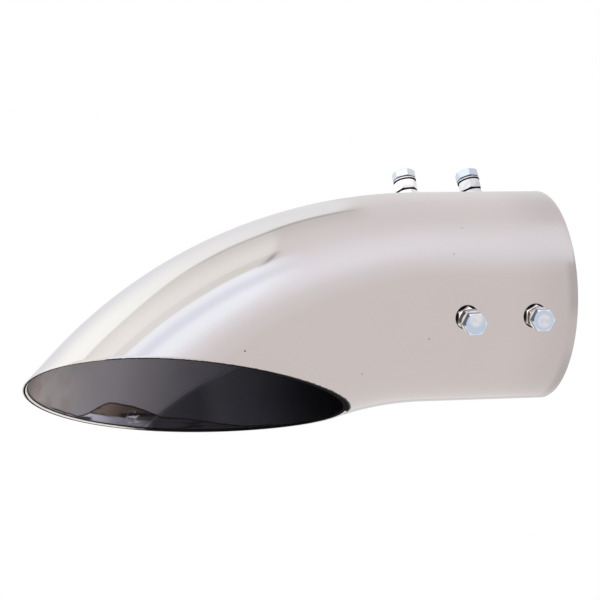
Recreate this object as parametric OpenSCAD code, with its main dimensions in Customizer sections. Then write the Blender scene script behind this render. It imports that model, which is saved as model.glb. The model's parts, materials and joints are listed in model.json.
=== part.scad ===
// Turn-down exhaust tip: one polished tube with a straight inlet, one bend and a long slash cut,
// held on the tail pipe by three pairs of hex set bolts.
// The origin is the centre of the inlet's end. +X leaves the inlet, as the tail pipe does,
// the tube runs to -X and bends down, and +Z is up.

/* [Tube] */
// Outside diameter of the tube
tube_d = 101.6; // [85:0.1:130]
// Thickness of the tube's wall
wall = 1.2; // [1:0.1:2.5]
// Length of the straight inlet that slips over the tail pipe
inlet_len = 62; // [60:1:110]

/* [Bend and slash cut] */
// Radius of the bend, to the centre line of the tube
bend_r = 212.5; // [170:0.5:300]
// Angle that the tube turns down through
bend_angle = 45; // [38:1:60]
// How far below the tube's underside the slash cut passes where the bend starts
heel_drop = 11.4; // [5:0.1:30]
// Slope of the slash cut, which rises towards the tip's point
cut_slope = 6.6; // [0:0.1:12]

/* [Weld seam] */
// Width of the seam's bead inside the tube
seam_w = 2; // [1:0.1:4]
// Height of the seam's bead above the bore
seam_h = 0.3; // [0.1:0.05:0.6]

/* [Bolt rows] */
// Number of rows of bolts around the inlet, the first on top
bolt_rows = 3; // [2:1:5]
// Distance from the inlet's end to the first bolt of a row
bolt_inset = 25.4; // [15:0.1:29]
// Distance between the two bolts of a row
bolt_pitch = 34.4; // [20:0.1:36]
// Angle that each row stands past its even place around the tube
row_creep = 2; // [0:0.5:4]

/* [Set bolts] */
// Thread diameter of the bolts
bolt_d = 6; // [5:0.5:7]
// Width of the bolt heads and nuts across their flats
hex_flats = 10; // [9.5:0.1:13]
// Height of a bolt head
head_h = 4.2; // [2.5:0.1:6]
// How far inside the wall the tip of a bolt stays back from the bore
tip_setback = 0.7; // [0.6:0.05:1]

/* [Nuts and washers] */
// Height of a weld nut above the tube
weld_nut_h = 3.8; // [3:0.1:8]
// Space between a weld nut and its lock nut
nut_gap = 0.6; // [0.2:0.1:2]
// Height of a lock nut
lock_nut_h = 5; // [3:0.1:8]
// Outside diameter of a split lock washer
washer_d = 11.2; // [10:0.1:14]
// Thickness of a split lock washer
washer_h = 1.5; // [0.8:0.1:2.5]
// Width of the split in a lock washer
washer_split = 1; // [0.5:0.1:1.5]

/* [Clearances] */
// Clearance between a bolt and the threads of its nuts, on the radius
thread_play = 0.05; // [0.02:0.01:0.2]
// Clearance of the washers and the tube's holes around a bolt, on the radius
hole_play = 0.3; // [0.2:0.05:0.5]
// Clearance between a weld nut's curved foot and the tube
foot_gap = 0.05; // [0.02:0.01:0.1]

/* [Hidden] */
$fn = 96;
eps = 0.01;
section_start = 67.5;
bolts_per_row = 2;
bolt_count = bolt_rows * bolts_per_row;

tube_r = tube_d / 2;
bore_r = tube_r - wall;

// Circle whose cap is the seam's bead
seam_r = (seam_w * seam_w / 4 + seam_h * seam_h) / (2 * seam_h);

// The outlet runs on past the bend until all of it lies below the slash cut
past_cut = 10;
crest_r = bend_r + tube_r;
crest_above_cut = crest_r * cos(bend_angle) - bend_r + tube_r + heel_drop
    - crest_r * sin(bend_angle) * tan(cut_slope);
crest_to_cut = crest_above_cut / (sin(bend_angle) - cos(bend_angle) * tan(cut_slope));
outlet_len = max(crest_to_cut, 0) + past_cut;
cut_reach = bend_r + tube_d + outlet_len;

// Hexagons: width across corners, and the bevel that takes the corners off
hex_corners = hex_flats / cos(30);
bevel_face_r = 0.95 * hex_flats / 2;
bevel_h = (hex_corners / 2 - bevel_face_r) * tan(30);
countersink = 0.5;

// How far the drill runs to each side of the tube's surface, and how far a weld nut's hexagon runs
// below it before its foot is cut to the tube's curve
drill_reach = wall + bolt_d / 2;
foot_sink = hex_corners / 4;

// Heights above the tube, from the weld nut up to the bolt head
lock_nut_z = weld_nut_h + nut_gap;
washer_z = lock_nut_z + lock_nut_h;
head_z = washer_z + washer_h;
head_face_r = 0.9 * hex_flats / 2;
head_face_h = 0.4;
tip_z = tip_setback - wall;
tip_bevel = 0.8;
split_slant = 25;

// The rows run top, front, rear, each from the inlet inwards, and further rows start these lists
// again: how far a row is set nearer the inlet's end, then each bolt's lean in degrees, towards
// the inlet and around the tube, and the turn of its head and its nuts.
row_shift = [0, 3.4, 0];
lean = [[-6.5, -3], [-2, -2], [-6.5, -4], [-5, 0.5], [0, 0], [0, 0]];
head_turn = [24, 32, 2, 4, 12, 38];
lock_nut_turn = [11, 52, 30, 6, 50, 20];
weld_nut_turn = [0, 30, 30, 30, 0, 30];

function row_of(i) = floor((i - 1) / bolts_per_row);
function place_in_row(i) = (i - 1) % bolts_per_row;
function pick(list, i) = list[(i - 1) % len(list)];

function names(stem) = [for (i = [1:bolt_count]) str(stem, "_", i)];

// Section of the tube. Its X points to the outside of the bend and its Y to the front. Its circles
// start at section_start, away from the bolts, the seam and both ends of the slash cut.
module tube_section() {
    rotate(section_start)
        difference() {
            circle(r = tube_r);
            circle(r = bore_r);
        }
}

// The same section with the seam's bead on its far side
module seamed_section() {
    tube_section();
    intersection() {
        circle(r = bore_r + wall / 2);
        translate([0, seam_h - seam_r - bore_r]) circle(r = seam_r);
    }
}

// A straight stretch that carries a section along X, up to the origin
module straight(length) {
    translate([-length, 0, 0])
        rotate([180, -90, 0]) linear_extrude(length) children();
}

// Inlet, bend and outlet, each swept from its own section. The seam is flush in the inlet.
module bent_tube() {
    straight(inlet_len) tube_section();
    translate([-inlet_len, 0, -bend_r]) {
        rotate([90, -90, 0])
            rotate_extrude(angle = bend_angle) translate([bend_r, 0]) seamed_section();
        rotate([0, -bend_angle, 0])
            translate([0, 0, bend_r]) straight(outlet_len) seamed_section();
    }
}

// Everything below the plane of the slash cut
module below_slash_cut() {
    translate([-inlet_len, 0, -tube_r - heel_drop])
        rotate([0, cut_slope, 0])
            translate([-cut_reach, -tube_d, -cut_reach])
                cube([cut_reach + inlet_len, 2 * tube_d, cut_reach]);
}

// Places a bolt's own axis on the tube's surface, leaning as that bolt does
module at_bolt(i) {
    row = row_of(i);
    from_end = bolt_inset + bolt_pitch * place_in_row(i) - pick(row_shift, row + 1);
    rotate([(360 / bolt_rows + row_creep) * row, 0, 0])
        translate([-from_end, 0, tube_r])
            rotate([pick(lean, i)[1], pick(lean, i)[0], 0]) children();
}

// Hexagon with bevelled corners on its upper face, and on its lower face if asked
module hex_block(h, turn, bevel_below) {
    low = bevel_below ? bevel_h : 0;
    low_r = bevel_below ? bevel_face_r : hex_corners / 2;
    rotate([0, 0, turn])
        intersection() {
            cylinder(d = hex_corners, h = h, $fn = 6);
            rotate_extrude()
                polygon([
                    [0, 0], [low_r, 0], [hex_corners / 2 + eps, low],
                    [hex_corners / 2 + eps, h - bevel_h], [bevel_face_r, h], [0, h]
                ]);
        }
}

// Threaded hole through a nut, with a countersink at its upper end
module nut_hole(h) {
    hole_r = bolt_d / 2 + thread_play;
    translate([0, 0, -foot_sink - eps]) cylinder(r = hole_r, h = h + foot_sink + 2 * eps);
    translate([0, 0, h - countersink])
        cylinder(r1 = hole_r, r2 = hole_r + countersink + eps, h = countersink + eps);
}

module tip_tube() {
    color("silver")
        difference() {
            bent_tube();
            below_slash_cut();
            for (i = [1:bolt_count])
                at_bolt(i)
                    cylinder(r = bolt_d / 2 + hole_play, h = 2 * drill_reach, center = true);
        }
}

// Nut welded on the tube, its foot curved to sit on it
module weld_nut(i) {
    color("gray")
        difference() {
            at_bolt(i)
                difference() {
                    translate([0, 0, -foot_sink])
                        hex_block(weld_nut_h + foot_sink, pick(weld_nut_turn, i), false);
                    nut_hole(weld_nut_h);
                }
            rotate([0, 90, 0])
                cylinder(r = tube_r + foot_gap, h = 3 * inlet_len, center = true);
        }
}

module lock_nut(i) {
    color("gainsboro")
        at_bolt(i)
            translate([0, 0, lock_nut_z])
                difference() {
                    hex_block(lock_nut_h, pick(lock_nut_turn, i), true);
                    nut_hole(lock_nut_h);
                }
}

// Split ring that locks a bolt head on its nut
module lock_washer(i) {
    color("darkgray")
        at_bolt(i)
            translate([0, 0, washer_z])
                difference() {
                    cylinder(d = washer_d, h = washer_h);
                    translate([0, 0, -eps])
                        cylinder(r = bolt_d / 2 + hole_play, h = washer_h + 2 * eps);
                    rotate([0, 0, pick(head_turn, i)])
                        translate([washer_d / 2, 0, washer_h / 2])
                            rotate([split_slant, 0, 0])
                                cube([washer_d, washer_split, 3 * washer_h], center = true);
                }
}

// Hex bolt with a round face under its head. Its shank ends in the tube's wall, so that the bore
// stays clear.
module set_bolt(i) {
    shank_r = bolt_d / 2;
    hex_z = head_z + head_face_h;
    color("lightsteelblue")
        at_bolt(i) {
            translate([0, 0, hex_z])
                hex_block(head_h - head_face_h, pick(head_turn, i), false);
            rotate_extrude()
                polygon([
                    [0, tip_z], [shank_r - tip_bevel, tip_z], [shank_r, tip_z + tip_bevel],
                    [shank_r, head_z], [head_face_r, head_z], [head_face_r, hex_z + eps],
                    [0, hex_z + eps]
                ]);
        }
}

tip_tube();
for (i = [1:bolt_count]) {
    weld_nut(i);
    lock_nut(i);
    lock_washer(i);
    set_bolt(i);
}
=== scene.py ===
"""Turn-down exhaust tip: a polished tube bent down and cut on a long slant, with six hex set bolts."""

import json
import math

import bmesh
import bpy
from mathutils import Matrix, Vector


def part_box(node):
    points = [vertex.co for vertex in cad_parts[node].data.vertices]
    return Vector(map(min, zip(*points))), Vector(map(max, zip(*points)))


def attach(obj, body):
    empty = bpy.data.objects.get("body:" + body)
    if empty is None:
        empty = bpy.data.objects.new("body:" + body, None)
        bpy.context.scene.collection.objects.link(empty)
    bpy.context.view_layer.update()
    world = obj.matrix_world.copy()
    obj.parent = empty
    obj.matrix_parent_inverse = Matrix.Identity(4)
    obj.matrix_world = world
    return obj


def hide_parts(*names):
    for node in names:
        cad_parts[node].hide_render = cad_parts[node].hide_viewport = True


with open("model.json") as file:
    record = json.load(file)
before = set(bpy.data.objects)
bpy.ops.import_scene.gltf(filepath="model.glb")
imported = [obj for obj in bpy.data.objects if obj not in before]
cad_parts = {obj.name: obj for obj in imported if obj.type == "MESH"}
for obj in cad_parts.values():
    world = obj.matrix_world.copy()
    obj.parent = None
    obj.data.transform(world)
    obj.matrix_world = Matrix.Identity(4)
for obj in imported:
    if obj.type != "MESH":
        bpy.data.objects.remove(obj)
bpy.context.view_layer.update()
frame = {"record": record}

# Sizes are in metres and angles in radians. The tube's radii and its inlet come from the frame.
MM = 0.001
DEG = math.pi / 180
bore = frame["record"]["mounts"][0]["dims"]
TUBE_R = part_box("tip_tube")[1].y
BORE_R = bore["r_mm"] * MM
INLET_LEN = bore["length_mm"] * MM
BEND_R = 212.5 * MM
BEND_ANGLE = 45 * DEG
HEEL_DROP = 11.4 * MM
CUT_SLOPE = 6.6 * DEG

# The plane of the slash cut
CUT_POINT = Vector((-INLET_LEN, 0, -TUBE_R - HEEL_DROP))
CUT_NORMAL = Vector((math.sin(CUT_SLOPE), 0, math.cos(CUT_SLOPE)))

# How finely the tube is modelled
TUBE_SIDES = 192
INLET_RINGS = 24
BEND_RINGS = 96
BEND_STOCK = 200 * MM

# Its ground edges: their rounding, the ring that the painted shade on the lip reaches, and where the
# shaded front rim ends
LIP_ROUNDING = 0.16 * MM
SHADE_RING_R = BORE_R + 0.62 * (TUBE_R - BORE_R)
SHADED_RIM_END = -232 * MM

# The finishes of the tube's faces
OUTSIDE, BORE, LIP, SHADED_LIP = range(4)

# The stretch at the inlet's end over which painted shade darkens the polish, and small pits with how
# dark each is
SHADED_END = (-36 * MM, -2 * MM)
PIT_R = 0.42 * MM
PITS = [
    ((-0.1689, -0.0493, -0.0427), 0.9),
    ((-0.0539, -0.0480, 0.0165), 0.3),
    ((-0.0611, -0.0507, 0.0023), 0.35),
    ((-0.0746, -0.0372, -0.0349), 0.5),
    ((-0.1068, -0.0282, -0.0482), 0.4),
]

# A painted glint in the brown and violet strip at the far rim
GLINT = (-0.1975, 0.0493, -0.0415)

# The weld seam, a low bead along the far side of the bore that rises past the inlet
SEAM_HALF_WIDTH = 1.0 * MM
SEAM_HEIGHT = 0.3 * MM
SEAM_START = 6 * MM

# How far to each side of the seam the stock's sides are divided, and by how many cuts
SEAM_REACH = 4 * MM
SEAM_CUTS = 3

# Bolts: rows around the inlet, the first on top, with two bolts in each
BOLT_ROWS = 3
BOLTS_PER_ROW = 2
BOLTS = range(BOLT_ROWS * BOLTS_PER_ROW)
FRONT_ROW = 1
BOLT_INSET = 25.4 * MM
BOLT_PITCH = 34.4 * MM
ROW_STEP = 122 * DEG
ROW_SHIFT = (0, 3.4 * MM, 0)

# Each bolt's lean in degrees, towards the inlet and around the tube, and the turns of its pieces
LEAN = [(-6.5, -3), (-2, -2), (-6.5, -4), (-5, 0.5), (0, 0), (0, 0)]
HEAD_TURN = [24, 32, 2, 4, 12, 38]
LOCK_NUT_TURN = [11, 52, 30, 6, 50, 20]
WELD_NUT_TURN = [0, 30, 30, 30, 0, 30]

# Hex parts, with heights along a bolt's axis from the tube's surface
HEX_FLATS = 10 * MM
HEX_CORNERS = HEX_FLATS / math.cos(30 * DEG)
HEX_FACE_R = 0.95 * HEX_FLATS / 2
HEX_BEVEL = 30 * DEG
HEX_ROUNDING = 0.14 * MM
FOOT_GAP = 0.05 * MM
WELD_NUT_TOP = 3.8 * MM
LOCK_NUT_LOW = 4.4 * MM
LOCK_NUT_TOP = 9.4 * MM
WASHER_TOP = 10.9 * MM
WASHER_R = 5.6 * MM
WASHER_SPLIT = 1 * MM
HEAD_FACE_R = 4.5 * MM
HEX_LOW = 11.3 * MM
HEAD_TOP = 15.1 * MM

# Shanks, and the holes of the nuts and of the tube and washers
SHANK_R = 3 * MM
NUT_HOLE_R = 3.05 * MM
HOLE_R = 3.3 * MM
COUNTERSINK = 0.5 * MM
TIP_Z = -0.5 * MM
TIP_BEVEL = 0.8 * MM

# The round blank that a hex part is cut from, and how far its bevel drops at the blank's rim
BLANK_SIDES = 96
BLANK_R = HEX_CORNERS / 2 + MM / 20
BEVEL_DROP = (BLANK_R - HEX_FACE_R) * math.tan(HEX_BEVEL)

# The finishes of a fastener's faces, after its plain one: painted shade in the gaps, painted shade on a
# side, a worn face, a painted highlight on a head's bevel and painted shade on a head's side
GAP_SHADE = 1
SHADED_NUT_SIDE = 2
WORN_FACE = 2
LIT_HEAD_BEVEL = 3
SHADED_HEAD_SIDE = 4

# The bolts whose nuts and washers get lighter copies of their plates as painted light, and the one whose
# head does
LIT_NUTS = (1, 2, 3)
LIT_HEAD = 1

# How far upwards a head's top face and its bevel look, as parts of their normals
TOP_LOOKS_UP = 0.96
BEVEL_LOOKS_UP = 0.3

# How high the painted shade stands on weld nuts, lock nuts and washers
WELD_NUT_SHADE_TOP = 0.8 * MM
NUT_SHADE = 0.3 * MM
WASHER_SHADE = 0.5 * MM

# The painted shadow ring on the tube around each weld nut's foot, and its shift in the bolt's own axes
FOOT_SHADOW_R = 5.9 * MM
FOOT_SHADOW_SHIFT = Vector((0.1 * MM, 0.15 * MM, 0))

# The worn patch on each head, in millimetres from its middle
WORN_SPOTS = [(0, 0), (1, 0), (0.3, -0.3), (0, 2), (0, 1), (-1, 0)]
WORN_R = 3 * MM

# Edges sharper than these angles are rounded, or stay sharp in smooth shading
ROUNDED_FROM = 25 * DEG
HEX_SHARP_FROM = 30 * DEG
TUBE_SHARP_FROM = 40 * DEG

# Points this close merge after a spin or once the flats are cut, or count as on a cutting plane
SPIN_MERGE = MM / 1000
FLAT_MERGE = MM / 200
ON_PLANE = MM / 10000

# The camera, as it stood for the photograph
LENS_MM = 168
SENSOR_MM = 36
CAMERA_DISTANCE = 1.34074
CAMERA_TURN = 0.3305
CAMERA_RISE = 0.3361
CAMERA_ROLL = -0.1338
LOOK_AT = Vector((-0.12256, 0, -0.00038))

# The floor, in metres
FLOOR_DROP = 0.6
FLOOR_SIZE = 12


class Wire:
    """A node's output that can stand in an expression, which adds the Math nodes it needs."""

    def __init__(self, shader, socket):
        self.shader = shader
        self.socket = socket

    def maths(self, operation, first, second):
        return self.shader.node("ShaderNodeMath", {"operation": operation}, {0: first, 1: second})

    def __add__(self, other):
        return self.maths("ADD", self, other)

    def __sub__(self, other):
        return self.maths("SUBTRACT", self, other)

    def __rsub__(self, other):
        return self.maths("SUBTRACT", other, self)

    def __mul__(self, other):
        return self.maths("MULTIPLY", self, other)

    def __truediv__(self, other):
        return self.maths("DIVIDE", self, other)

    __radd__ = __add__
    __rmul__ = __mul__


class Shader:
    """The node tree of one material, or of the world."""

    def __init__(self, owner):
        owner.use_nodes = True
        self.tree = owner.node_tree
        self.tree.nodes.clear()

    def node(self, kind, settings=None, inputs=None, output=0):
        """Adds a node: its settings first, then the values or links of its sockets."""
        made = self.tree.nodes.new(kind)
        for name, value in (settings or {}).items():
            setattr(made, name, value)
        for key, value in (inputs or {}).items():
            if isinstance(value, Wire):
                self.tree.links.new(value.socket, made.inputs[key])
            else:
                made.inputs[key].default_value = value
        return Wire(self, made.outputs[output]) if made.outputs else None

    def mix(self, mask, low, high):
        """One colour where the mask is 0 and another where it is 1."""
        colours = {0: mask, 6: rgba(low), 7: rgba(high)}
        return self.node("ShaderNodeMix", {"data_type": "RGBA"}, colours, 2)

    def vectors(self, operation, first, second, output=0):
        """Maths on two vectors. A result that is a number is output 1."""
        return self.node("ShaderNodeVectorMath", {"operation": operation}, {0: first, 1: second}, output)

    def rise(self, value, start, end):
        """0 below start, 1 above end and smooth between them."""
        span = {"Value": value, "From Min": start, "From Max": end}
        return self.node("ShaderNodeMapRange", {"interpolation_type": "SMOOTHSTEP"}, span)

    def band(self, value, start, end, soft):
        """1 from start to end, with soft borders."""
        inside = self.rise(value, start - soft, start + soft)
        return inside * (1 - self.rise(value, end - soft, end + soft))

    def near(self, place, point, radius, soft):
        """1 within a radius of a point, with a border that is a share of the radius."""
        distance = self.vectors("DISTANCE", place, point, 1)
        return self.rise(distance, (1 + soft) * radius, (1 - soft) * radius)

    def parts(self, vector):
        """A vector's x, y and z."""
        split = self.node("ShaderNodeSeparateXYZ", None, {0: vector}).socket.node
        return [Wire(self, split.outputs[axis]) for axis in range(3)]

    def grain(self, place, scale, detail=3, stretch=(1, 1, 1)):
        """Noise from 0 to 1 with so many grains a metre, finer along an axis that is stretched."""
        scaled = self.node("ShaderNodeMapping", None, {"Vector": place, "Scale": stretch})
        inputs = {"Vector": scaled, "Scale": scale, "Detail": detail}
        return self.node("ShaderNodeTexNoise", None, inputs)

    def bump(self, height, depth):
        """A normal from a height between 0 and 1, over a depth in metres."""
        return self.node("ShaderNodeBump", None, {"Height": height, "Distance": depth})

    def steel(self, **sockets):
        """Closes the material with a surface, of metal unless its Metallic says otherwise."""
        inputs = {name.replace("_", " "): value for name, value in sockets.items()}
        surface = self.node("ShaderNodeBsdfPrincipled", None, {"Metallic": 1.0, **inputs})
        self.node("ShaderNodeOutputMaterial", None, {"Surface": surface})


def rgba(colour):
    """A colour of three parts with its alpha; a wire stays as it is."""
    return colour if isinstance(colour, Wire) else (*colour, 1)


def new_finish(name):
    """A material, its shader and the place on the object that it is evaluated at."""
    material = bpy.data.materials.new(name)
    shader = Shader(material)
    return material, shader, shader.node("ShaderNodeTexCoord", output="Object")


# Finishes


def height_above_cut(shader, place):
    """How far above the plane of the slash cut a place lies."""
    return shader.vectors("DOT_PRODUCT", place, CUT_NORMAL, 1) - CUT_POINT.dot(CUT_NORMAL)


def polished_steel():
    """The buffed outside of the tube, with a few small pits, and painted shade towards the inlet's end,
    around each weld nut's foot and along the near rim.
    """
    material, shader, place = new_finish("polished_steel")
    along, across, up = shader.parts(place)
    steel = shader.mix(shader.grain(place, 30, 4), (0.565, 0.512, 0.512), (0.59, 0.538, 0.534))
    # Painted shade towards the inlet's end, most at its top and least just above its middle
    end_shade = 0.15 + 0.08 * shader.rise(up, 18 * MM, 30 * MM)
    end_shade = end_shade - 0.12 * shader.band(up, -MM, 18 * MM, 3 * MM)
    steel = shader.mix(end_shade * shader.rise(along, *SHADED_END), steel, (0.22, 0.19, 0.21))
    # More painted shade: the last few millimetres are darker below the middle
    end_rim_shade = shader.rise(along, -6.5 * MM, -2.5 * MM) * shader.rise(up, -MM, -5 * MM)
    end_rim_shade = end_rim_shade * (1 - 0.7 * shader.band(up, -43 * MM, -26 * MM, 5 * MM))
    steel = shader.mix(0.23 * end_rim_shade, steel, (0.1, 0.1, 0.13))
    for pit, depth in PITS:
        steel = shader.mix(depth * shader.near(place, pit, PIT_R, 0.4), steel, (0.02, 0.018, 0.02))
    # Painted contact shadow: a near-black disc on the tube around each weld nut's foot
    for index in BOLTS:
        foot = bolt_place(index) @ FOOT_SHADOW_SHIFT
        steel = shader.mix(shader.near(place, foot, FOOT_SHADOW_R, 0.03), steel, (0.004, 0.004, 0.004))
    # A ragged line of painted shade along the outlet's near rim
    rim_line_height = height_above_cut(shader, place) + 0.5 * MM * shader.grain(place, 700, 2)
    rim_line_height = rim_line_height - 0.2 * MM * shader.rise(along, -200 * MM, -130 * MM)
    near_rim_shade = shader.rise(rim_line_height, 0.45 * MM, 0.35 * MM) * near_rim(shader, along, across)
    shader.steel(
        Base_Color=shader.mix(near_rim_shade, steel, (0.01, 0.009, 0.01)),
        Metallic=1 - near_rim_shade,
        Roughness=0.055 + 0.03 * shader.grain(place, 90, 5) + 0.5 * near_rim_shade,
        Normal=shader.bump(shader.grain(place, 22, 1), 0.2 * MM),
    )
    return material


def near_rim(shader, along, across):
    """1 along the front rim of the outlet, fading out before its tip."""
    return shader.rise(across, 10 * MM, 0) * shader.rise(along, -240 * MM, -225 * MM)


def bore_with_painted_shade():
    """The matt inside of the tube: warm near the tip, with painted shade that deepens further in."""
    material, shader, place = new_finish("bore_with_painted_shade")
    along, across, _ = shader.parts(place)
    in_plane = shader.vectors("MULTIPLY", place, (1, 0, 1))
    bend_middle = (-INLET_LEN, 0, -BEND_R)
    radius = shader.vectors("DISTANCE", in_plane, bend_middle, 1)
    cut_height = height_above_cut(shader, place)
    colour_and_shade = bore_colour_and_shade(shader, place, along, radius - BEND_R)
    strip, stains_and_glint = rim_stains_and_glint(shader, place, along, cut_height)
    strip = strip * shader.rise(across, 30 * MM, 36 * MM)
    colour_and_shade = shader.mix(strip, colour_and_shade, stains_and_glint)
    # A line of painted shade along the rim, and towards the tip a painted highlight at its very edge
    colour_and_shade = shader.mix(shader.rise(cut_height, 1.8 * MM, 1.2 * MM), colour_and_shade, (0.02, 0.018, 0.018))
    tip_side = shader.rise(along, -190 * MM, -205 * MM)
    colour_and_shade = shader.mix(tip_side * shader.rise(cut_height, 0.9 * MM, 0.6 * MM), colour_and_shade, (0.9, 0.87, 0.85))
    shader.steel(Base_Color=colour_and_shade, Metallic=0.55, Roughness=0.55 - 0.3 * strip)
    return material


def bore_colour_and_shade(shader, place, along, from_seam):
    """The bore's own colour with painted shade: the shade deepens further in and changes sharply at the
    seam, with a painted highlight along the seam.
    """
    at_tip, at_mouth = (0.45, 0.415, 0.425), (0.36, 0.335, 0.37)
    # Painted shade: lighter at the tip and darker further into the tube
    colour_and_shade = shader.mix(shader.rise(along, -250 * MM, -215 * MM), at_tip, at_mouth)
    colour_and_shade = shader.mix(shader.rise(along, -215 * MM, -120 * MM), colour_and_shade, (0.2, 0.205, 0.265))
    colour_and_shade = shader.mix(shader.rise(along, -140 * MM, -100 * MM), colour_and_shade, (0.025, 0.022, 0.03))
    rust = shader.rise(shader.grain(place, 110, 4), 0.42, 0.7)
    rust = rust * shader.rise(along, -222 * MM, -240 * MM)
    colour_and_shade = shader.mix(0.5 * rust, colour_and_shade, (0.33, 0.225, 0.18))
    colour_and_shade = shader.mix(shader.rise(along, -248 * MM, -259 * MM), colour_and_shade, (0.2, 0.155, 0.145))
    colour_and_shade = shader.mix(0.3 * shader.grain(place, 70, 5), colour_and_shade, (0.1, 0.1, 0.11))
    # Painted shade past the seam
    past_seam = shader.rise(from_seam, 0.3 * MM, -0.3 * MM)
    depth = 0.74 - 0.34 * shader.rise(along, -166 * MM, -153 * MM)
    colour_and_shade = shader.mix(past_seam * depth, colour_and_shade, (0.018, 0.022, 0.026))
    # Painted highlight: a thin light line along the seam
    seam_highlight = shader.band(from_seam, 0.2 * MM, 0.9 * MM, 0.15 * MM)
    return shader.mix(0.1 * seam_highlight, colour_and_shade, (0.8, 0.8, 0.82))


def rim_stains_and_glint(shader, place, along, cut_height):
    """Where the strip along the far rim lies, and its brown, violet and streaked colours with a painted
    glint.
    """
    # The strip is widest near the tip and tails off towards the inlet
    swell = shader.rise(along, -228 * MM, -208 * MM) * shader.rise(along, -183 * MM, -199 * MM)
    tail = shader.rise(along, -199 * MM, -185 * MM) * shader.rise(along, -140 * MM, -178 * MM)
    ripple = 2 * MM * shader.grain(place, 60, 2)
    above = cut_height + ripple - (3.5 * MM + 9 * MM * swell + 5 * MM * tail)
    inside = shader.rise(above, 0.3 * MM, -0.3 * MM)
    violet, brown = (0.46, 0.44, 0.55), (0.17, 0.122, 0.105)
    stains_and_glint = shader.mix(shader.rise(cut_height + ripple, 5.6 * MM, 6.4 * MM), violet, brown)
    stains_and_glint = shader.mix(shader.rise(along, -196 * MM, -187 * MM), stains_and_glint, (0.085, 0.08, 0.095))
    streaks = shader.grain(place, 150, 4, (0.3, 1, 3))
    stains_and_glint = shader.mix(shader.rise(streaks, 0.54, 0.62), stains_and_glint, (0.04, 0.035, 0.04))
    # A painted glint, broken into flecks
    flecks = shader.rise(shader.grain(place, 420, 2, (0.5, 1, 1.5)), 0.5, 0.6)
    glint = shader.near(place, GLINT, 3.4 * MM, 0.4) * flecks
    stains_and_glint = shader.mix(glint, stains_and_glint, (0.9, 0.9, 1.0))
    border = shader.band(above, -0.7 * MM, 0.4 * MM, 0.2 * MM)
    return inside, shader.mix(border, stains_and_glint, (0.03, 0.027, 0.03))


def ground_edge():
    """The ground edge of the slash cut and of the inlet's end."""
    material, shader, place = new_finish("ground_edge")
    shader.steel(
        Base_Color=shader.mix(shader.grain(place, 400, 3), (0.66, 0.62, 0.6), (0.78, 0.74, 0.72)),
        Roughness=0.25,
    )
    return material


def black_shade():
    """Painted shade, near black, on the inner part of the lips and in the gaps between nuts, washers and
    heads.
    """
    material, shader, place = new_finish("black_shade")
    darkest, lightest = (0.008, 0.007, 0.008), (0.022, 0.02, 0.02)
    shader.steel(
        Base_Color=shader.mix(shader.grain(place, 300, 3), darkest, lightest),
        Metallic=0.0,
        Roughness=0.75,
        Specular_IOR_Level=0.0,
    )
    return material


def plate(name, dark, light, roughness):
    """Plate on a small hex part; the script also uses it for lighter copies as painted light and darker
    copies as painted shade.
    """
    material, shader, place = new_finish(name)
    shader.steel(
        Base_Color=shader.mix(shader.grain(place, 500, 4), dark, light),
        Roughness=roughness,
    )
    return material


def worn_head():
    """Blue plate worn to a warmer grey in a patch on each head."""
    material, shader, place = new_finish("worn_head")
    colour = (0.52, 0.61, 0.76)
    broken = 0.35 + 0.65 * shader.rise(shader.grain(place, 330, 3), 0.3, 0.5)
    for index, (x, y) in enumerate(WORN_SPOTS):
        spot = bolt_place(index) @ Vector((x * MM, y * MM, HEAD_TOP))
        worn = shader.near(place, spot, WORN_R, 0.3) * broken
        colour = shader.mix(worn, colour, (0.76, 0.74, 0.75))
    shader.steel(Base_Color=colour, Roughness=0.2)
    return material


# Making pieces


def add_piece(name, bm, materials):
    """Makes a bmesh into an object at the origin, with its place in its mesh."""
    mesh = bpy.data.meshes.new(name)
    bm.to_mesh(mesh)
    bm.free()
    for material in materials:
        mesh.materials.append(material)
    made = bpy.data.objects.new(name, mesh)
    bpy.context.scene.collection.objects.link(made)
    return made


def smooth_shading(piece, angle):
    """Shades the piece smooth, apart from its edges sharper than the angle."""
    piece.data.polygons.foreach_set("use_smooth", [True] * len(piece.data.polygons))
    piece.data.set_sharp_from_angle(angle=angle)


def stand_for(piece, node):
    """The piece takes the place of a node of the frame."""
    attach(piece, "root")
    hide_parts(node)


def bolt_place(index):
    """A bolt's own axis, from the tube's surface outwards."""
    row, place = divmod(index, BOLTS_PER_ROW)
    along, around = LEAN[index]
    from_end = BOLT_INSET + BOLT_PITCH * place - ROW_SHIFT[row]
    return (
        Matrix.Rotation(ROW_STEP * row, 4, "X")
        @ Matrix.Translation((-from_end, 0, TUBE_R))
        @ Matrix.Rotation(along * DEG, 4, "Y")
        @ Matrix.Rotation(around * DEG, 4, "X")
    )


# The tube


def bent_place(point):
    """Where a point of the straight stock lies once it is bent and cut."""
    share = (-point.x - INLET_LEN) / BEND_STOCK
    if share <= 0:
        return point
    # Each fibre along the wall has its own radius, and ends where it meets the slash cut
    fibre_r = BEND_R + point.z
    cut_height = (BEND_R + CUT_POINT.z) * math.cos(CUT_SLOPE)
    turn_at_cut = min(math.acos(min(cut_height / fibre_r, 1)) - CUT_SLOPE, BEND_ANGLE)
    drop = fibre_r * math.cos(turn_at_cut + CUT_SLOPE) - cut_height
    outlet = drop / math.sin(turn_at_cut + CUT_SLOPE)
    along = share * (fibre_r * turn_at_cut + outlet)
    turn = min(along / fibre_r, turn_at_cut)
    past_bend = along - fibre_r * turn
    return Vector((
        -INLET_LEN - fibre_r * math.sin(turn) - past_bend * math.cos(turn),
        point.y,
        -BEND_R + fibre_r * math.cos(turn) - past_bend * math.sin(turn),
    ))


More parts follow.
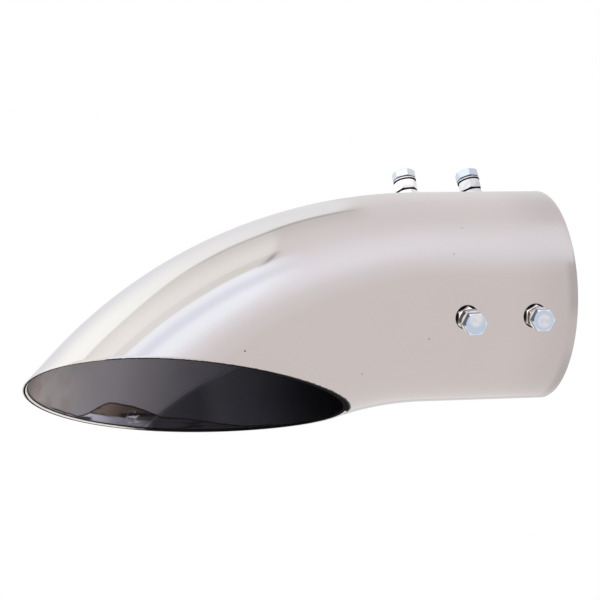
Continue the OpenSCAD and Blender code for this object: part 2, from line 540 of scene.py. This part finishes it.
def seam_bead(point):
    """Height of the weld seam's bead at a point of the straight stock."""
    across = abs(point.z) / SEAM_HALF_WIDTH
    past_inlet = -point.x - INLET_LEN
    if point.y < 0 or across >= 1 or past_inlet <= 0:
        return 0
    return SEAM_HEIGHT * math.cos(across * math.pi / 2) * min(past_inlet / SEAM_START, 1)


def spin_stock(profile):
    """Spins a closed profile of (x, radius) points around the tube's axis."""
    bm = bmesh.new()
    verts = [bm.verts.new((x, 0, -radius)) for x, radius in profile]
    edges = [bm.edges.new(pair) for pair in zip(verts, verts[1:] + verts[:1])]
    bmesh.ops.spin(
        bm,
        geom=verts + edges,
        cent=(0, 0, 0),
        axis=(1, 0, 0),
        angle=360 * DEG,
        steps=TUBE_SIDES,
        use_merge=True,
    )
    bmesh.ops.remove_doubles(bm, verts=bm.verts, dist=SPIN_MERGE)
    return bm


def tube_stock():
    """The straight stock, with finer sides along the seam's bead."""
    stations = [-INLET_LEN * ring / INLET_RINGS for ring in range(INLET_RINGS)]
    stations += [-INLET_LEN - BEND_STOCK * ring / BEND_RINGS for ring in range(BEND_RINGS + 1)]
    outside = [(x, TUBE_R) for x in stations]
    inside = [(x, BORE_R) for x in reversed(stations)]
    bm = spin_stock([*outside, (stations[-1], SHADE_RING_R), *inside, (0, SHADE_RING_R)])
    near_seam = [
        edge for edge in bm.edges
        if all(v.co.y > 0 and abs(v.co.z) < SEAM_REACH for v in edge.verts)
        and abs(edge.verts[0].co.z - edge.verts[1].co.z) > MM / 10
    ]
    bmesh.ops.subdivide_edges(bm, edges=near_seam, cuts=SEAM_CUTS)
    for vert in bm.verts:
        radius = ring_radius(vert)
        vert.co.yz *= radius / vert.co.yz.length
        if radius == BORE_R:
            vert.co.y -= seam_bead(vert.co)
    return bm


def ring_radius(vert):
    """The radius of the ring that a vertex of the stock belongs to."""
    return min((BORE_R, SHADE_RING_R, TUBE_R), key=lambda radius: abs(vert.co.yz.length - radius))


def mark_surfaces(bm):
    """Gives each face of the stock its finish."""
    for face in bm.faces:
        radii = {ring_radius(vert) for vert in face.verts}
        if radii == {TUBE_R}:
            face.material_index = OUTSIDE
        elif radii == {BORE_R}:
            face.material_index = BORE
        else:
            face.material_index = LIP if TUBE_R in radii else SHADED_LIP


def shade_front_rim(bm):
    """Paints shade on the whole of the outlet's lip along its front."""
    for face in bm.faces:
        middle = face.calc_center_median()
        if face.material_index == LIP and middle.y < 0 and SHADED_RIM_END < middle.x < -INLET_LEN / 2:
            face.material_index = SHADED_LIP


def rims(bm):
    """The edges where the outside and the bore end."""
    borders = ({OUTSIDE, LIP}, {OUTSIDE, SHADED_LIP}, {BORE, SHADED_LIP})
    return [edge for edge in bm.edges if {face.material_index for face in edge.link_faces} in borders]


def make_tube():
    """The tube: its straight stock bent and cut, its lips rounded and its holes drilled."""
    bm = tube_stock()
    mark_surfaces(bm)
    for vert in bm.verts:
        vert.co = bent_place(vert.co)
    shade_front_rim(bm)
    bmesh.ops.recalc_face_normals(bm, faces=bm.faces)
    bmesh.ops.bevel(
        bm,
        geom=rims(bm),
        offset=LIP_ROUNDING,
        affect="EDGES",
        segments=2,
        profile=0.5,
        material=-1,
    )
    finishes = [polished_steel(), bore_with_painted_shade(), ground_edge(), black_shade()]
    tube = add_piece("polished_tube", bm, finishes)
    drill_holes(tube)
    smooth_shading(tube, TUBE_SHARP_FROM)
    stand_for(tube, "tip_tube")


def drill_holes(tube):
    """Drills a hole for each bolt through the tube's wall."""
    bm = bmesh.new()
    for index in BOLTS:
        bmesh.ops.create_cone(
            bm,
            cap_ends=True,
            segments=BLANK_SIDES,
            radius1=HOLE_R,
            radius2=HOLE_R,
            depth=4 * HOLE_R,
            matrix=bolt_place(index),
        )
    drill = add_piece("drill", bm, [])
    holes = tube.modifiers.new("holes", "BOOLEAN")
    holes.object = drill
    holes.solver = "EXACT"
    shown = tube.evaluated_get(bpy.context.evaluated_depsgraph_get())
    tube.data = bpy.data.meshes.new_from_object(shown)
    tube.modifiers.clear()
    bpy.data.objects.remove(drill)


# Nuts, washers and bolts, each turned on its own axis and then placed


def turned(bm, profile, angle=360 * DEG):
    """Spins a profile of (radius, height) points around the axis."""
    verts = [bm.verts.new((radius, 0, height)) for radius, height in profile]
    edges = [bm.edges.new(pair) for pair in zip(verts, verts[1:])]
    bmesh.ops.spin(
        bm,
        geom=verts + edges,
        cent=(0, 0, 0),
        axis=(0, 0, 1),
        angle=angle,
        steps=BLANK_SIDES,
        use_merge=angle == 360 * DEG,
    )
    bmesh.ops.remove_doubles(bm, verts=bm.verts, dist=SPIN_MERGE)


def cut_flats(bm, turn):
    """Cuts six flats on a turned blank, and then turns it about its axis."""
    for side in range(6):
        angle = (30 + 60 * side) * DEG
        outward = Vector((math.cos(angle), math.sin(angle), 0))
        cut = bmesh.ops.bisect_plane(
            bm,
            geom=bm.verts[:] + bm.edges[:] + bm.faces[:],
            dist=ON_PLANE,
            plane_co=outward * HEX_FLATS / 2,
            plane_no=outward,
            clear_outer=True,
        )
        edges = [part for part in cut["geom_cut"] if isinstance(part, bmesh.types.BMEdge)]
        bmesh.ops.edgenet_fill(bm, edges=edges)
    bmesh.ops.remove_doubles(bm, verts=bm.verts, dist=FLAT_MERGE)
    bmesh.ops.rotate(bm, verts=bm.verts, matrix=Matrix.Rotation(turn * DEG, 3, "Z"))


def round_edges(bm):
    """Rounds the sharp edges of a fastener's piece."""
    bmesh.ops.recalc_face_normals(bm, faces=bm.faces)
    sharp = [edge for edge in bm.edges if edge.calc_face_angle(0) > ROUNDED_FROM]
    bmesh.ops.bevel(
        bm,
        geom=sharp,
        offset=HEX_ROUNDING,
        affect="EDGES",
        segments=2,
        profile=0.5,
        material=-1,
        clamp_overlap=True,
    )


def nut_blank(bm, low, top, turn, bevel_below):
    """A hex nut with a countersunk hole and bevelled corners."""
    below = [(HEX_FACE_R, low), (BLANK_R, low + BEVEL_DROP)] if bevel_below else [(BLANK_R, low)]
    turned(bm, [
        (NUT_HOLE_R, low),
        *below,
        (BLANK_R, top - BEVEL_DROP),
        (HEX_FACE_R, top),
        (NUT_HOLE_R + COUNTERSINK, top),
        (NUT_HOLE_R, top - COUNTERSINK),
        (NUT_HOLE_R, low),
    ])
    cut_flats(bm, turn)


def shade_between(bm, low, high):
    """Paints shade on the faces between two heights."""
    for height in (low, high):
        bmesh.ops.bisect_plane(
            bm,
            geom=bm.verts[:] + bm.edges[:] + bm.faces[:],
            dist=ON_PLANE,
            plane_co=(0, 0, height),
            plane_no=(0, 0, 1),
        )
    for face in bm.faces:
        if low < face.calc_center_median().z < high:
            face.material_index = GAP_SHADE


def in_front(index):
    """Whether a bolt belongs to the front row."""
    return index // BOLTS_PER_ROW == FRONT_ROW


def shade_left_side(bm, finish):
    """Paints shade on the side that faces away from the inlet and upwards, and on a head its bevel too.
    """
    bmesh.ops.recalc_face_normals(bm, faces=bm.faces)
    for face in bm.faces:
        side = face.normal.x < -0.75 and face.normal.y > -0.2
        bevel = face.normal.z > BEVEL_LOOKS_UP and face.normal.x < -0.3 and face.normal.y > -0.05
        if side or (bevel and finish == SHADED_HEAD_SIDE):
            face.material_index = finish


def place_piece(name, bm, index, node, materials):
    """Puts a fastener's piece on its bolt's axis and lets it stand for its node."""
    bmesh.ops.transform(bm, matrix=bolt_place(index), verts=bm.verts)
    piece = add_piece(name, bm, materials)
    piece.visible_glossy = False
    smooth_shading(piece, HEX_SHARP_FROM)
    stand_for(piece, node)


def make_lock_nut(index, finishes):
    """A nut with both faces bevelled, with painted shade where it meets the weld nut."""
    bm = bmesh.new()
    nut_blank(bm, LOCK_NUT_LOW, LOCK_NUT_TOP, LOCK_NUT_TURN[index], True)
    round_edges(bm)
    if in_front(index):
        shade_left_side(bm, SHADED_NUT_SIDE)
    shade_between(bm, 0, LOCK_NUT_LOW + NUT_SHADE)
    number = index + 1
    place_piece(f"zinc_lock_nut_{number}", bm, index, f"lock_nut_{number}", finishes)


def foot_on_tube(point, index):
    """Slides a point along its bolt's axis until it lies on the tube."""
    place = bolt_place(index)
    axis = place.to_3x3() @ Vector((0, 0, 1))
    start = place @ point
    reach = TUBE_R + FOOT_GAP
    slope = axis.y * axis.y + axis.z * axis.z
    outward = axis.y * start.y + axis.z * start.z
    beyond = start.y * start.y + start.z * start.z - reach * reach
    slide = (math.sqrt(outward * outward - slope * beyond) - outward) / slope
    return point + Vector((0, 0, slide))


def make_weld_nut(index, finishes):
    """A nut with one bevelled face, whose foot is curved to the tube."""
    bm = bmesh.new()
    nut_blank(bm, -HEX_CORNERS / 4, WELD_NUT_TOP, WELD_NUT_TURN[index], False)
    round_edges(bm)
    if in_front(index):
        shade_left_side(bm, SHADED_NUT_SIDE)
    # Painted shade at the foot
    shade_between(bm, -HEX_CORNERS, WELD_NUT_SHADE_TOP)
    for vert in bm.verts:
        if vert.co.z < 0:
            vert.co = foot_on_tube(vert.co, index)
    number = index + 1
    place_piece(f"steel_weld_nut_{number}", bm, index, f"weld_nut_{number}", finishes)


def make_lock_washer(index, finishes):
    """A split spring washer, shaded where it bears on its nut."""
    bm = bmesh.new()
    split = WASHER_SPLIT / WASHER_R
    low, top = LOCK_NUT_TOP, WASHER_TOP
    section = [(HOLE_R, low), (WASHER_R, low), (WASHER_R, top), (HOLE_R, top), (HOLE_R, low)]
    turned(bm, section, 2 * math.pi - split)
    open_ends = [edge for edge in bm.edges if edge.is_boundary]
    bmesh.ops.edgenet_fill(bm, edges=open_ends)
    to_split = Matrix.Rotation(HEAD_TURN[index] * DEG + split / 2, 3, "Z")
    bmesh.ops.rotate(bm, verts=bm.verts, matrix=to_split)
    round_edges(bm)
    shade_between(bm, 0, LOCK_NUT_TOP + WASHER_SHADE)
    if not in_front(index):
        shade_between(bm, WASHER_TOP - WASHER_SHADE, HEAD_TOP)
    number = index + 1
    place_piece(f"spring_washer_{number}", bm, index, f"lock_washer_{number}", finishes)


def make_set_bolt(index, finishes):
    """A hex bolt with a worn face on its head, a painted highlight on its head's bevel and painted shade
    under its head.
    """
    bm = bmesh.new()
    turned(bm, [
        (0, TIP_Z),
        (SHANK_R - TIP_BEVEL, TIP_Z),
        (SHANK_R, TIP_Z + TIP_BEVEL),
        (SHANK_R, WASHER_TOP),
        (HEAD_FACE_R, WASHER_TOP),
        (HEAD_FACE_R, HEX_LOW),
        (BLANK_R, HEX_LOW),
        (BLANK_R, HEAD_TOP - BEVEL_DROP),
        (HEX_FACE_R, HEAD_TOP),
        (0, HEAD_TOP),
    ])
    cut_flats(bm, HEAD_TURN[index])
    round_edges(bm)
    bmesh.ops.recalc_face_normals(bm, faces=bm.faces)
    # Painted shade under the head, a worn top face and a painted highlight on the bevel
    for face in bm.faces:
        if face.calc_center_median().z < HEX_LOW:
            face.material_index = GAP_SHADE
        elif face.normal.z > TOP_LOOKS_UP:
            face.material_index = WORN_FACE
        elif face.normal.z > BEVEL_LOOKS_UP:
            face.material_index = LIT_HEAD_BEVEL
    if in_front(index):
        shade_left_side(bm, SHADED_HEAD_SIDE)
    number = index + 1
    place_piece(f"hex_set_bolt_{number}", bm, index, f"set_bolt_{number}", finishes)


def make_fasteners():
    """Every nut, washer and bolt, with the finishes that they share."""
    gap_shade = black_shade()
    zinc = plate("bright_zinc", (0.58, 0.57, 0.6), (0.66, 0.65, 0.69), 0.1)
    # Lighter copy of the zinc, as painted light
    lit_zinc = plate("lit_zinc", (0.78, 0.76, 0.78), (0.88, 0.86, 0.88), 0.1)
    weld = plate("welded_nut_zinc", (0.5, 0.48, 0.49), (0.62, 0.59, 0.6), 0.16)
    spring = plate("spring_steel", (0.56, 0.52, 0.52), (0.66, 0.62, 0.62), 0.25)
    # Lighter copy of the spring steel, as painted light
    lit_spring = plate("lit_spring_steel", (0.72, 0.69, 0.7), (0.84, 0.81, 0.81), 0.2)
    blue = plate("blue_zinc", (0.5, 0.58, 0.71), (0.59, 0.66, 0.77), 0.12)
    # Lighter copy of the blue plate, as painted light
    lit_blue = plate("lit_blue_zinc", (0.62, 0.66, 0.71), (0.7, 0.74, 0.78), 0.12)
    # A lighter copy of the blue plate, as a painted highlight on the heads' bevels
    bevel = plate("lit_blue_zinc_bevel", (0.66, 0.72, 0.82), (0.74, 0.79, 0.88), 0.12)
    worn = worn_head()
    # Darker copies of the plates, as painted shade on the front bolts' left sides
    dark_zinc = plate("shaded_zinc", (0.004, 0.004, 0.005), (0.06, 0.06, 0.065), 0.2)
    dark_blue = plate("shaded_blue_zinc", (0.02, 0.03, 0.05), (0.22, 0.27, 0.37), 0.2)
    for index in BOLTS:
        pale = index in LIT_NUTS
        make_weld_nut(index, [lit_zinc if pale else weld, gap_shade, dark_zinc])
        make_lock_nut(index, [lit_zinc if pale else zinc, gap_shade, dark_zinc])
        make_lock_washer(index, [lit_spring if pale else spring, gap_shade])
        head = lit_blue if index == LIT_HEAD else blue
        make_set_bolt(index, [head, gap_shade, worn, bevel, dark_blue])


# The studio


def make_camera():
    """The camera, below the tube and a little to its left, rolled as in the photograph."""
    turn, rise = CAMERA_TURN, CAMERA_RISE
    ahead = Vector((math.sin(turn) * math.cos(rise), math.cos(turn) * math.cos(rise), math.sin(rise)))
    level = Vector((math.cos(turn), -math.sin(turn), 0))
    upright = level.cross(ahead)
    right = level * math.cos(CAMERA_ROLL) + upright * math.sin(CAMERA_ROLL)
    up = upright * math.cos(CAMERA_ROLL) - level * math.sin(CAMERA_ROLL)
    data = bpy.data.cameras.new("camera")
    data.lens = LENS_MM
    data.sensor_width = SENSOR_MM
    camera = bpy.data.objects.new("camera", data)
    turned_to = Matrix((right, up, -ahead)).transposed().to_4x4()
    camera.matrix_world = Matrix.Translation(LOOK_AT - CAMERA_DISTANCE * ahead) @ turned_to
    bpy.context.scene.collection.objects.link(camera)
    bpy.context.scene.camera = camera


def make_world():
    """A white studio, with soft boxes above the tube that show in its bend."""
    world = bpy.data.worlds.new("studio")
    bpy.context.scene.world = world
    shader = Shader(world)
    ray = shader.node("ShaderNodeTexCoord", output="Generated")
    east, north, up = shader.parts(ray)
    # Plan of the sky: straight up is 0, 0 and the horizon lies at a distance of 1
    reach = shader.node("ShaderNodeMath", {"operation": "MAXIMUM"}, {0: 1 + up, 1: 0.05})
    plan_x = east / reach
    plan_y = north / reach
    light = studio_walls(shader, plan_x, plan_y)
    light = cool_box(shader, plan_x, plan_y, light)
    light = beige_box(shader, plan_x, plan_y, light)
    light = white_box(shader, plan_x, plan_y, light)
    camera_ray = shader.node("ShaderNodeLightPath", output="Is Camera Ray")
    colour = shader.mix(camera_ray, light, (1, 1, 1))
    surface = shader.node("ShaderNodeBackground", None, {"Color": colour, "Strength": 1.0})
    shader.node("ShaderNodeOutputWorld", None, {"Surface": surface})


def studio_walls(shader, plan_x, plan_y):
    """The plain walls: duller behind the tube and to its right, brighter in front and to its left."""
    light = shader.mix(shader.rise(plan_y, 0.2, 0.65), (1.07, 1.07, 1.07), (0.8, 0.8, 0.82))
    glow = shader.mix(shader.rise(plan_x, 0.18, 0.28), (1.25, 1.3, 1.37), (1.15, 1.19, 1.24))
    light = shader.mix(shader.rise(plan_y, -0.1, -0.5), light, glow)
    light = shader.mix(shader.rise(plan_x, 0.4, 0.52), light, (0.95, 0.93, 0.92))
    light = shader.mix(shader.rise(plan_y, -0.5, -0.95), light, (1.0, 0.985, 0.965))
    light = shader.mix(shader.rise(plan_x, -0.24, -0.36), light, (1.5, 1.45, 1.34))
    corner = shader.band(plan_x, 0.035, 0.12, 0.012) * shader.rise(plan_y, -0.15, 0.11)
    return shader.mix(corner * shader.rise(plan_y, 0.3, 0.1), light, (0.9, 0.9, 0.89))


def cool_box(shader, plan_x, plan_y, light):
    """The bluish box in front, with a soft duller stripe."""
    side = 0.05 + 0.34 * (-0.28 - plan_y)
    inside = shader.rise(plan_x - side, 0.03, -0.03) * shader.rise(plan_y, -0.262, -0.275)
    inside = inside * shader.rise(plan_y, -0.66, -0.49) * shader.rise(plan_x, -0.36, -0.24)
    stripe = shader.band(plan_y, -0.43, -0.34, 0.035)
    colour = shader.mix(stripe, (1.43, 1.58, 1.68), (1.21, 1.34, 1.5))
    return shader.mix(inside, light, colour)


def beige_box(shader, plan_x, plan_y, light):
    """The box overhead, brighter towards the front and towards its left end."""
    inside = shader.rise(plan_x, 0.038, 0.03) * shader.rise(plan_y, -0.275, -0.262)
    forward = shader.rise(plan_y, 0.1, -0.15)
    left = shader.mix(forward, (1.2, 1.22, 1.16), (1.42, 1.48, 1.45))
    right = shader.mix(forward, (1.0, 1.03, 1.0), (1.26, 1.32, 1.28))
    colour = shader.mix(shader.rise(plan_x, -0.2, 0.04), left, right)
    strip = shader.mix(shader.rise(plan_x, -0.1, 0.02), (1.25, 1.3, 1.27), (1.13, 1.16, 1.12))
    colour = shader.mix(shader.rise(plan_y, -0.185, -0.2), colour, strip)
    # The dark side of its frame
    frame_side = shader.band(plan_x, 0.036, 0.042, 0.002) * shader.band(plan_y, -0.27, -0.2, 0.03)
    light = shader.mix(frame_side, light, (0.22, 0.22, 0.25))
    return shader.mix(inside * shader.rise(plan_y, 0.3, 0.2), light, colour)


def white_box(shader, plan_x, plan_y, light):
    """The large box behind, whose near border sags."""
    border = 0.03 + 0.078 * shader.rise(plan_x, -0.16, 0.0)
    border = border + 0.014 * shader.rise(plan_x, 0.02, 0.07)
    side = 0.11 + 0.17 * (plan_y - 0.12)
    inside = shader.rise(plan_y - border, -0.008, 0.008) * shader.rise(plan_x - side, 0.012, -0.012)
    # The dark side of its frame, fainter towards the left
    frame_side = shader.band(plan_y - border, -0.035, -0.012, 0.006)
    frame_side = frame_side * shader.band(plan_x, -0.04, 0.11, 0.02)
    strength = 0.3 + 0.3 * shader.rise(plan_x, 0.0, 0.05)
    light = shader.mix(strength * frame_side, light, (0.5, 0.5, 0.5))
    back = shader.rise(plan_y, 0.14, 0.62)
    left = shader.mix(back, (1.58, 1.71, 1.66), (1.0, 1.03, 1.09))
    right = shader.mix(back, (1.2, 1.26, 1.28), (0.9, 0.92, 0.97))
    colour = shader.mix(shader.rise(plan_x, -0.2, 0.14), left, right)
    return shader.mix(inside, light, colour)


def make_floor():
    """A pale floor well below the tube, which hangs from its pipe."""
    bm = bmesh.new()
    bmesh.ops.create_grid(bm, x_segments=1, y_segments=1, size=FLOOR_SIZE / 2)
    bmesh.ops.translate(bm, verts=bm.verts, vec=(0, 0, -FLOOR_DROP))
    material, shader, _ = new_finish("pale_floor")
    path = shader.node("ShaderNodeLightPath").socket.node.outputs
    mirrored = Wire(shader, path["Is Glossy Ray"]) + Wire(shader, path["Is Transmission Ray"])
    matt = shader.node("ShaderNodeBsdfDiffuse", None, {"Color": (0.84, 0.8, 0.79, 1)})
    white = shader.node("ShaderNodeEmission", None, {"Color": (1.0, 0.985, 0.965, 1), "Strength": 1.0})
    surface = shader.node("ShaderNodeMixShader", None, {0: mirrored, 1: matt, 2: white})
    shader.node("ShaderNodeOutputMaterial", None, {"Surface": surface})
    floor = add_piece("floor", bm, [material])


make_camera()
make_world()
make_floor()
make_tube()
make_fasteners()
bpy.context.scene.view_settings.view_transform = "Standard"
